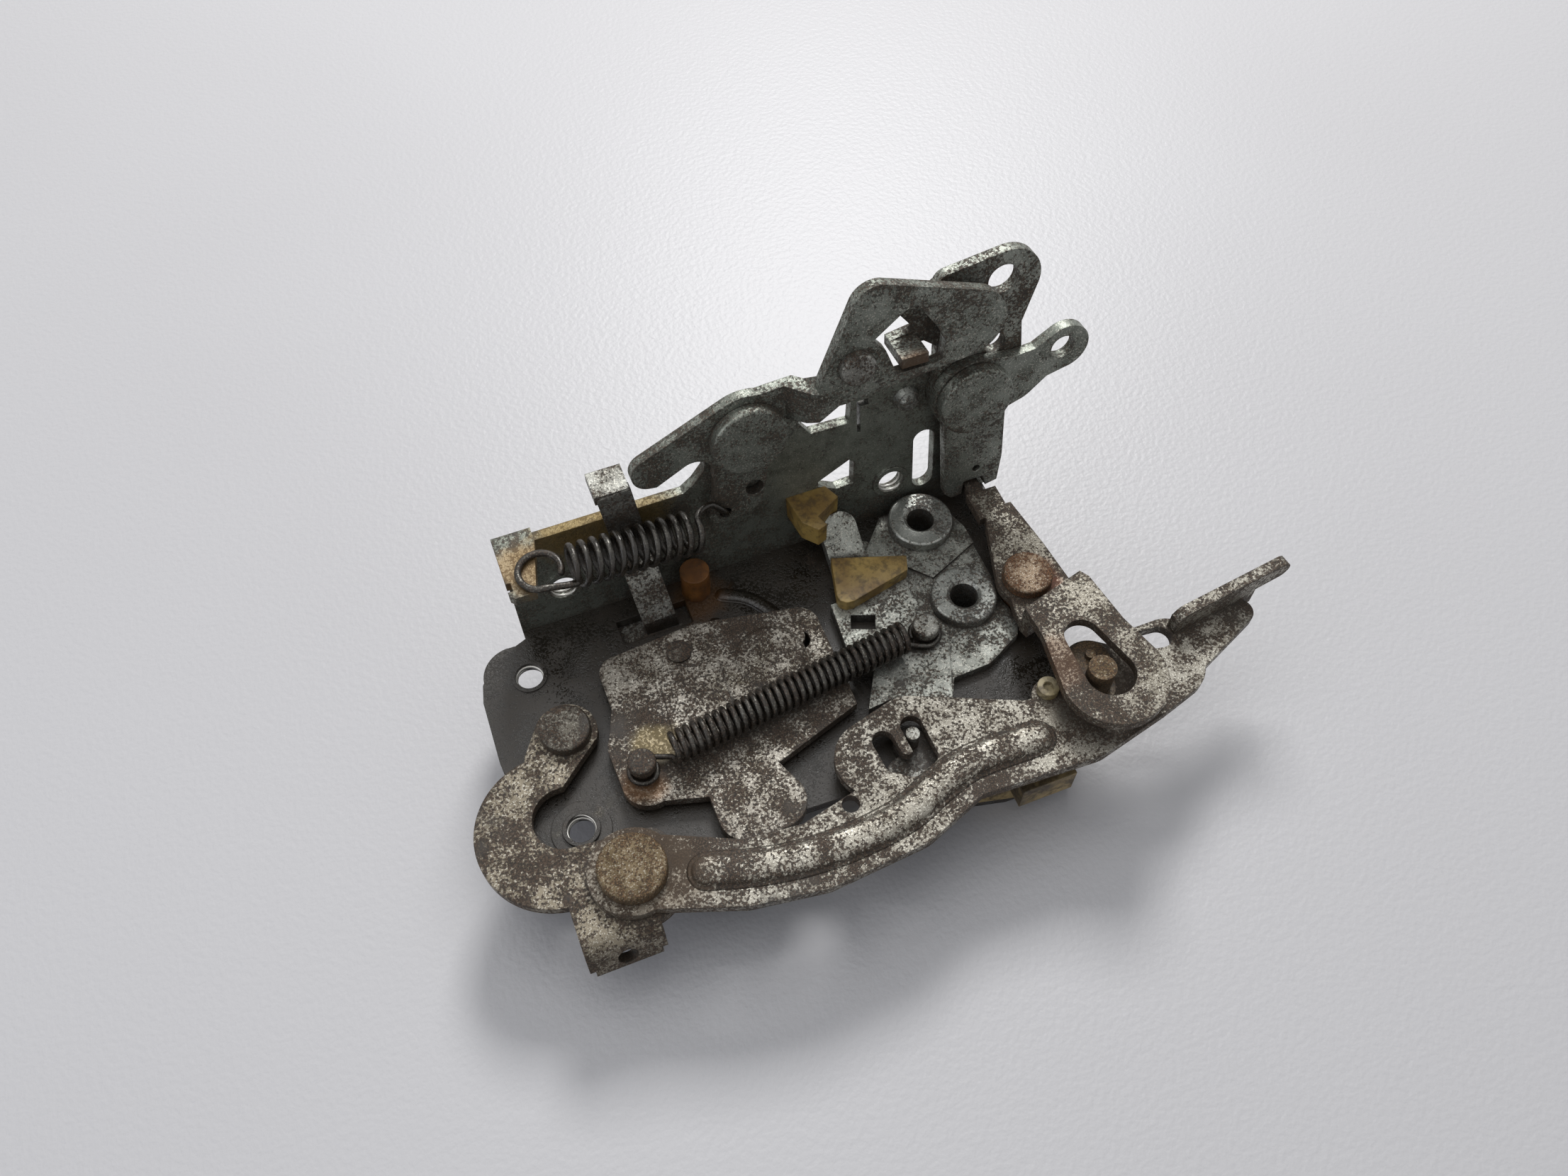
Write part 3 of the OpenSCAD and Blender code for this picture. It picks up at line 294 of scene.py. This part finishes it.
def add(tree, kind, sockets, out=0, **settings):
    """Add a shader node and give its output; a socket takes a number, colour or output."""
    node = tree.nodes.new("ShaderNode" + kind)
    for key, value in settings.items():
        setattr(node, key, value)
    for key, value in sockets.items():
        if isinstance(value, bpy.types.NodeSocket):
            tree.links.new(value, node.inputs[key])
        else:
            node.inputs[key].default_value = value
    return node.outputs[out]


def worn_steel(name, base, dark, rust=0.5, grease=0.3, fleck=0.4, rough=0.45, metal=0.75,
               rust_hex=("#1f1812", "#4a3828"), edge=0.35, stains=(), seed=0.0, bump=1.0):
    """Zinc plated steel with rust specks, oil stains, bright flecks and rubbed edges, and painted
    shade in corners and under neighbouring parts.

    rust, grease and fleck are shares of the surface; stains lists (place in mm, radius in mm,
    hex colour, strength) for what one spot in the photograph shows.
    """
    mat = bpy.data.materials.new(name)
    mat.use_nodes = True
    t = mat.node_tree
    shader = t.nodes["Principled BSDF"]
    here = add(t, "TexCoord", {}, "Object")
    co = add(t, "VectorMath", {0: here, 1: (seed, 0.7 * seed, -seed)}, operation="ADD")
    patch = add(t, "TexNoise", {"Vector": co, "Scale": RUST_PATCH, "Detail": 5, "Roughness": 0.55})
    cloud = add(t, "TexNoise", {"Vector": co, "Scale": CLOUD, "Detail": 4, "Roughness": 0.6})
    speck = add(t, "TexNoise", {"Vector": co, "Scale": RUST_SPECK, "Detail": 3, "Roughness": 0.65})
    grit = add(t, "TexNoise", {"Vector": co, "Scale": GRIT, "Detail": 2})
    oil = add(t, "TexNoise", {"Vector": co, "Scale": OIL_STAIN, "Detail": 4, "Roughness": 0.65})
    # Edges rounded by handling, rubbed bright where the rounding turns
    rounded = add(t, "Bevel", {"Radius": 0.22 * MM}, samples=4)
    facing = add(t, "VectorMath", {0: rounded, 1: add(t, "NewGeometry", {}, "Normal")},
                 "Value", operation="DOT_PRODUCT")
    rub = add(t, "Math", {0: add(t, "MapRange", {0: facing, 1: 0.985, 2: 0.90, 4: edge}),
                          1: add(t, "MapRange", {0: cloud, 1: 0.38, 2: 0.6})},
              operation="MULTIPLY")

    plating = add(t, "Mix", {0: add(t, "MapRange", {0: cloud, 1: 0.36, 2: 0.66}),
                             6: rgb(base), 7: rgb(dark)}, 2, data_type="RGBA")
    colour = add(t, "Mix", {0: add(t, "MapRange", {0: grit, 1: 0.56, 2: 0.62, 4: fleck}),
                            6: plating, 7: rgb("#c6c3b8")}, 2, data_type="RGBA")
    colour = add(t, "Mix", {0: rub, 6: colour, 7: rgb("#c4c1b8")}, 2, data_type="RGBA")
    # Rust gathers in patches and breaks up into specks,
    level = add(t, "Math", {0: cloud, 1: 0.5, 2: speck}, operation="MULTIPLY_ADD")
    level = add(t, "Math", {0: patch, 1: 0.55, 2: level}, operation="MULTIPLY_ADD")
    # and it is thicker along the rims, where water stays, and deeper in corners and under
    # neighbouring parts, where the occlusion term paints shade as rust
    wide = add(t, "Bevel", {"Radius": 1.5 * MM}, samples=4)
    rim = add(t, "VectorMath", {0: wide, 1: add(t, "NewGeometry", {}, "Normal")}, "Value",
              operation="DOT_PRODUCT")
    level = add(t, "Math", {0: add(t, "MapRange", {0: rim, 1: 0.99, 2: 0.8, 4: 0.10}),
                            1: level}, operation="ADD")
    # Painted shade: occlusion by nearby parts raises the rust level in corners and on the plate
    # under the levers
    open_air = add(t, "AmbientOcclusion", {"Distance": 6 * MM}, "AO", samples=4)
    level = add(t, "Math", {0: add(t, "MapRange", {0: open_air, 1: 0.85, 2: 0.35, 4: 0.12}),
                            1: level}, operation="ADD")
    rust_and_shade = add(t, "MapRange", {0: level, 1: 1.13 - 0.20 * rust, 2: 1.20 - 0.20 * rust,
                                4: min(0.92, 0.4 + rust)}, interpolation_type="SMOOTHSTEP")
    scale = add(t, "Mix", {0: add(t, "MapRange", {0: grit, 1: 0.42, 2: 0.62}),
                           6: rgb(rust_hex[0]), 7: rgb(rust_hex[1])}, 2, data_type="RGBA")
    colour = add(t, "Mix", {0: rust_and_shade, 6: colour, 7: scale}, 2, data_type="RGBA")
    # Old oil and dust in wide soft stains, with painted shade where nearby parts crowd the surface
    oil_and_shade = add(t, "Math", {0: cloud, 1: 0.3, 2: oil}, operation="MULTIPLY_ADD")
    # Painted shade: the same occlusion darkens crevices and the plate under the levers with the
    # oil film
    oil_and_shade = add(t, "Math", {0: add(t, "MapRange", {0: open_air, 1: 0.8, 2: 0.3, 4: 0.22}),
                           1: oil_and_shade}, operation="ADD")
    oil_and_shade = add(t, "MapRange", {0: oil_and_shade, 1: 0.86 - 0.42 * grease, 2: 1.0 - 0.42 * grease,
                               4: min(0.95, 0.5 + 0.6 * grease)},
               interpolation_type="SMOOTHSTEP")
    film = add(t, "Mix", {0: cloud, 6: rgb("#100d0a"), 7: rgb("#2e271d")}, 2,
               data_type="RGBA")
    colour = add(t, "Mix", {0: oil_and_shade, 6: colour, 7: film}, 2, data_type="RGBA")
    for place, radius, code, strength in stains:
        gone = add(t, "VectorMath", {0: here, 1: tuple(p * MM for p in place)}, "Value",
                   operation="DISTANCE")
        ragged = add(t, "Math", {0: cloud, 1: 1.1, 2: -0.55}, operation="MULTIPLY_ADD")
        gone = add(t, "Math", {0: gone, 1: 1 / (radius * MM), 2: ragged},
                   operation="MULTIPLY_ADD")
        spot = add(t, "MapRange", {0: gone, 1: 1.0, 2: 0.45, 4: strength},
                   interpolation_type="SMOOTHSTEP")
        colour = add(t, "Mix", {0: spot, 6: colour, 7: rgb(code)}, 2, data_type="RGBA")

    # Rust is matt and oil is glossy, and both hide the bare metal; the painted shade in their
    # masks does the same
    shine = add(t, "Math", {0: cloud, 1: 0.22, 2: rough - 0.1}, operation="MULTIPLY_ADD")
    shine = add(t, "Math", {0: rust_and_shade, 1: 0.28, 2: shine}, operation="MULTIPLY_ADD")
    shine = add(t, "Math", {0: oil_and_shade, 1: -0.30, 2: shine}, operation="MULTIPLY_ADD",
                use_clamp=True)
    bare = add(t, "Math", {0: add(t, "MapRange", {0: rust_and_shade, 3: 1.0, 4: 0.15}),
                           1: add(t, "MapRange", {0: oil_and_shade, 3: metal, 4: 0.0})},
               operation="MULTIPLY")
    height = add(t, "Math", {0: speck, 1: 0.5, 2: grit}, operation="MULTIPLY_ADD")
    height = add(t, "Math", {0: rust_and_shade, 1: 0.8, 2: height}, operation="MULTIPLY_ADD")
    relief = add(t, "Bump", {"Strength": 0.4 * bump, "Distance": 0.08 * MM, "Height": height,
                             "Normal": rounded})
    for key, value in (("Base Color", colour), ("Roughness", shine), ("Metallic", bare),
                       ("Normal", relief)):
        t.links.new(value, shader.inputs[key])
    return mat


def nylon(name, base, dark, rough, dirt):
    """Moulded plastic gone dull, with ground-in brown dirt and a little translucency."""
    mat = bpy.data.materials.new(name)
    mat.use_nodes = True
    t = mat.node_tree
    shader = t.nodes["Principled BSDF"]
    co = add(t, "TexCoord", {}, "Object")
    cloud = add(t, "TexNoise", {"Vector": co, "Scale": PLASTIC_CLOUD, "Detail": 5})
    grime = add(t, "TexNoise", {"Vector": co, "Scale": GRIME, "Detail": 4, "Roughness": 0.7})
    fine = add(t, "TexNoise", {"Vector": co, "Scale": MOULD_GRAIN, "Detail": 3})
    rounded = add(t, "Bevel", {"Radius": 0.3 * MM}, samples=4)
    colour = add(t, "Mix", {0: add(t, "MapRange", {0: cloud, 1: 0.38, 2: 0.62}),
                            6: rgb(base), 7: rgb(dark)}, 2, data_type="RGBA")
    dirty = add(t, "Math", {0: fine, 1: 0.4, 2: grime}, operation="MULTIPLY_ADD")
    dirty = add(t, "MapRange", {0: dirty, 1: 0.66, 2: 0.84, 4: dirt})
    colour = add(t, "Mix", {0: dirty, 6: colour, 7: rgb("#2b1f14")}, 2, data_type="RGBA")
    shine = add(t, "Math", {0: fine, 1: 0.25, 2: rough - 0.12}, operation="MULTIPLY_ADD")
    relief = add(t, "Bump", {"Strength": 0.35, "Distance": 0.06 * MM, "Height": dirty,
                             "Normal": rounded})
    shader.inputs["Subsurface Weight"].default_value = 0.12
    shader.inputs["Subsurface Radius"].default_value = (0.9 * MM, 0.5 * MM, 0.25 * MM)
    for key, value in (("Base Color", colour), ("Roughness", shine), ("Normal", relief)):
        t.links.new(value, shader.inputs[key])
    return mat


def paint(material, *names):
    """Give CAD nodes their material."""
    for name in names:
        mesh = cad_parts[name].data
        mesh.materials.clear()
        mesh.materials.append(material)


# Zinc plated steel of the pressed base under old oil, with brown specks and a soft gloss: nearly
# black between the levers, partly from the oil and partly from painted shade in the occlusion term
paint(worn_steel("oily_and_shaded_base_steel", "#4f4b42", "#262119", rust=0.8, grease=1.0, fleck=0.35,
                 rough=0.42, stains=[((33, 36, 2), 7, "#5b3d1d", 0.6),
                                     ((66, 26, 2), 9, "#5a4426", 0.5)]), "base_plate")
# Chromated zinc on the upright flange: grey green and fairly clean, stained yellow by its ear
paint(worn_steel("flange_steel", "#7f837a", "#585b52", rust=0.35, grease=0.25, fleck=0.25,
                 stains=[((14, 43, 23), 9, "#7a6434", 0.75), ((26, 43, 23), 8, "#7a6434", 0.6),
                         ((5, 38, 24), 7, "#86683a", 0.6)], seed=0.3), "flange_plate")
# Zinc plated steel of the bridge plate: the lightest sheet, mottled grey and sparsely specked
paint(worn_steel("bridge_zinc", "#93958e", "#686962", rust=0.42, grease=0.3, fleck=0.5,
                 rough=0.4, seed=0.9), "bridge_plate")
# Turned and zinc plated steel of the hollow rivets and the domed pin: smooth light grey
paint(worn_steel("rivet_zinc", "#8e908b", "#6a6c67", rust=0.36, grease=0.12, fleck=0.4,
                 rough=0.38, seed=1.7), "catch_bush", "pawl_bush", "dome_pin")
# Zinc plated steel of the long ribbed lever: beige grey, thick with brown specks of rust
paint(worn_steel("ribbed_lever_zinc", "#8f8b81", "#635d52", rust=0.72, grease=0.22, fleck=0.7,
                 seed=2.1, stains=[((8, -12, 6), 13, "#4a3a28", 0.55),
                                   ((88, -9, 6), 12, "#3d3226", 0.6)]), "ribbed_lever")
# Zinc plated steel of the hooked lever: the same specks grown together to brown
paint(worn_steel("hook_lever_zinc", "#7c7465", "#4a4235", rust=0.9, grease=0.35, fleck=0.5,
                 seed=3.3), "hook_lever")
# Zinc plated steel of the spring lever: brown specks and a yellow stain by its left post
paint(worn_steel("spring_lever_zinc", "#88837a", "#544d40", rust=0.8, grease=0.38, fleck=0.6,
                 seed=4.2, stains=[((16, 9, 5), 5, "#8f7f58", 0.6),
                                   ((12, 3, 5), 5, "#6f4c28", 0.6)]), "spring_lever")
# Zinc plated steel of the slotted lever: brown specks and orange rust by its rivet
paint(worn_steel("slotted_lever_zinc", "#7f7a6f", "#565043", rust=0.72, grease=0.2, fleck=0.5,
                 seed=5.6, stains=[((84, -6, 12), 7, "#5a3d26", 0.5),
                                   ((91, 14, 6), 5, "#9a4f26", 0.5)]), "slotted_lever")
# Chromated zinc on the levers of the flange: dull grey green with pale rubbed edges
paint(worn_steel("upper_lever_steel", "#7c8078", "#555850", rust=0.42, grease=0.15, fleck=0.45,
                 seed=6.4), "upper_lever", "upper_rivet", "right_eye_lever", "eye_rivet")
# The same on the top eye lever: its tab is brown with rust
paint(worn_steel("top_eye_steel", "#83867e", "#5d6058", rust=0.5, grease=0.15, fleck=0.4,
                 seed=7.7, stains=[((75, 36, 46), 7, "#4c3622", 0.85)]), "top_eye_lever")
# Bare upset steel of the big rivet and the drive pin: an even olive brown rust
paint(worn_steel("brown_rivet_steel", "#665944", "#40341f", rust=0.85, grease=0.3, fleck=0.25,
                 rough=0.5, rust_hex=("#362819", "#6f5536"), seed=8.5), "main_rivet", "drive_pin")
# Bare steel of two rivets and the left post: black with oil
paint(worn_steel("oily_rivet_steel", "#56524a", "#3a362f", rust=0.8, grease=0.5, fleck=0.2,
                 rough=0.45, seed=8.9), "spring_lever_rivet", "hook_pin", "spring_post_left")
# Bare steel of the slotted lever's rivet: a fresher, orange brown rust
paint(worn_steel("orange_rivet_steel", "#766654", "#54412f", rust=0.85, grease=0.1, fleck=0.3,
                 rust_hex=("#402b1b", "#7a5230"), seed=9.1), "slotted_lever_rivet")
# Turned steel of the small pins and the slide: mid grey, lightly specked
paint(worn_steel("pin_steel", "#8b8b85", "#57554e", rust=0.5, grease=0.3, fleck=0.4,
                 seed=10.3), "guide_pin", "spring_post_right", "upper_pin", "lock_slide")
# Hardened steel of the catch and pawl and the face plate: dark grey under black oil
paint(worn_steel("catch_steel", "#5b5a56", "#34322e", rust=0.35, grease=0.6, fleck=0.2,
                 seed=11.9), "catch_fork", "pawl", "face_plate")
# Drawn spring wire under oil: dark, smooth and glossy
SPRING = worn_steel("spring_wire", "#4a4844", "#24221f", rust=0.3, grease=0.55, fleck=0.15,
                    rough=0.36, metal=0.85, edge=0.0, seed=12.4, bump=0.5)
paint(SPRING, "long_spring", "short_spring", "catch_spring", "pawl_spring")
# Moulded tan nylon of the housing, browned by oil: one light edge below the dark plate
paint(nylon("housing_nylon", "#a58f62", "#3a3022", 0.5, 0.75), "housing")
# Cast polyurethane of the buffer: translucent amber, dull with dirt
paint(nylon("buffer_urethane", "#a98d4e", "#7f632f", 0.45, 0.6), "buffer_block", "buffer_pad")
# Moulded nylon of the peg: warm brown with a soft shine
paint(nylon("peg_nylon", "#8a5a2a", "#5f3b1a", 0.4, 0.5), "nylon_peg")
# Moulded nylon of the ring: a pale, dirty cream
paint(nylon("ring_nylon", "#b8ab8a", "#8f7f58", 0.5, 0.7), "nylon_ring")


def dress(obj, material, body, *replaced):
    """Give a piece its material, let it ride on its body, if it has one, and stand for nodes."""
    obj.data.materials.append(material)
    if body:
        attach(obj, body)
    if replaced:
        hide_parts(*replaced)


dress(long_spring(), SPRING, None, "long_spring")
dress(short_spring(), SPRING, None, "short_spring")
# The rounded rib that stands over the long lever's stepped bar
dress(pressed_bead("lever_rib", np.array(RIB), RIBBED_Z + LEVER_T, 2.55, 1.34),
      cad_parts["ribbed_lever"].data.materials[0], "ribbed_lever")
# Two stiffening ridges pressed up in the base between the levers and the buffer
for piece, arc in (("base_ridge_outer", OUTER_RIDGE), ("base_ridge_inner", INNER_RIDGE)):
    dress(pressed_bead(piece, np.array(arc), PLATE_T, 1.1, 0.6, power=2.2, skirt=0.5),
          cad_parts["base_plate"].data.materials[0], "frame")
# The M6 threads of the four fixing holes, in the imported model's own plain pin steel, which the
# import names first
for piece, spot, way, length in (
        ("thread_low", (0, 0, 1.4), (0, 0, 1), 2.8),
        ("thread_high", (-0.2, 31.2, 1.15), (0, 0, 1), 2.3),
        ("thread_flange_left", on_face(10.3, 8.6, -0.8), FACE_OUT, 2.4),
        ("thread_flange_right", on_face(73.7, 8.9, -0.8), FACE_OUT, 2.4)):
    dress(thread(piece, spot, way, FIX_R, length), bpy.data.materials["pin_steel"], "frame")


# ---------------------------------------------------------------- studio

def floor():
    """Pale board at the part's lowest point, with a fine moulded grain that breaks its shine."""
    z = CAD_BOX[0][2]
    mesh = bpy.data.meshes.new("studio_floor")
    mesh.from_pydata([(-3, -3, z), (3, -3, z), (3, 5, z), (-3, 5, z)], [], [(0, 1, 2, 3)])
    obj = bpy.data.objects.new("studio_floor", mesh)
    bpy.context.scene.collection.objects.link(obj)
    mat = bpy.data.materials.new("pale_grained_board")
    mat.use_nodes = True
    t = mat.node_tree
    co = add(t, "TexCoord", {}, "Object")
    grain = add(t, "TexNoise", {"Vector": co, "Scale": BOARD_GRAIN, "Detail": 2})
    tone = add(t, "TexNoise", {"Vector": co, "Scale": BOARD_TONE, "Detail": 2})
    colour = add(t, "Mix", {0: tone, 6: rgb("#c9c7c8"), 7: rgb("#d3d2d3")}, 2,
                 data_type="RGBA")
    relief = add(t, "Bump", {"Strength": 0.55, "Distance": 0.2 * MM, "Height": grain})
    shader = t.nodes["Principled BSDF"]
    shader.inputs["Roughness"].default_value = 0.42
    t.links.new(colour, shader.inputs["Base Color"])
    t.links.new(relief, shader.inputs["Normal"])
    mesh.materials.append(mat)


def lamp(name, place, target, size, watts, colour="#ffffff"):
    """A soft square lamp that looks at a target."""
    data = bpy.data.lights.new(name, "AREA")
    data.shape, data.size, data.energy, data.color = "SQUARE", size, watts, rgb(colour)[:3]
    obj = bpy.data.objects.new(name, data)
    obj.location = place
    obj.rotation_euler = (Vector(target) - Vector(place)).to_track_quat("-Z", "Y").to_euler()
    bpy.context.scene.collection.objects.link(obj)


def backdrop():
    """White to the camera and in reflections, softer as a light on matt surfaces."""
    world = bpy.data.worlds.new("studio_world")
    bpy.context.scene.world = world
    world.use_nodes = True
    t = world.node_tree
    t.nodes.clear()
    seen = add(t, "Math", {0: add(t, "LightPath", {}, "Is Camera Ray"),
                           1: add(t, "LightPath", {}, "Is Transmission Ray")},
               operation="MAXIMUM")
    seen = add(t, "Math", {0: seen, 1: add(t, "LightPath", {}, "Is Glossy Ray")},
               operation="MAXIMUM")
    soft = add(t, "Background", {"Color": rgb("#dfe3ea"), "Strength": 0.32})
    white = add(t, "Background", {"Color": (1, 1, 1, 1), "Strength": 0.85})
    mix = add(t, "MixShader", {0: seen, 1: soft, 2: white})
    t.links.new(mix, t.nodes.new("ShaderNodeOutputWorld").inputs[0])


def camera():
    """The photograph's viewpoint, solved from the holes and rivets that it shows."""
    data = bpy.data.cameras.new("photo_camera")
    # Focal length and width of the photograph in its own pixels, on a 36 mm sensor
    focal, across = 1900, 2212
    data.sensor_width, data.lens = 36, 36 * focal / across
    data.clip_start = 0.01
    obj = bpy.data.objects.new("photo_camera", data)
    ahead, right = Vector((0.1969, 0.4999, -0.8434)), Vector((0.9304, -0.3665, 0.0))
    right = (right - ahead * right.dot(ahead) / ahead.length_squared).normalized()
    back = -ahead.normalized()
    up = back.cross(right)
    turn = Matrix((right, up, back)).transposed().to_4x4()
    obj.matrix_world = Matrix.Translation((-0.0004, -0.0925, 0.2121)) @ turn
    bpy.context.scene.collection.objects.link(obj)
    bpy.context.scene.camera = obj


AIM = (0.05, 0.01, 0)
floor()
lamp("key_behind", (0.30, 0.55, 0.60), AIM, 0.24, 4.6)
lamp("overhead", (-0.1, 0.1, 0.9), AIM, 0.8, 2.0)
lamp("left_fill", (-0.6, -0.1, 0.35), AIM, 0.4, 0.7, "#eef2ff")
backdrop()
camera()
bpy.context.scene.view_settings.view_transform = "Standard"
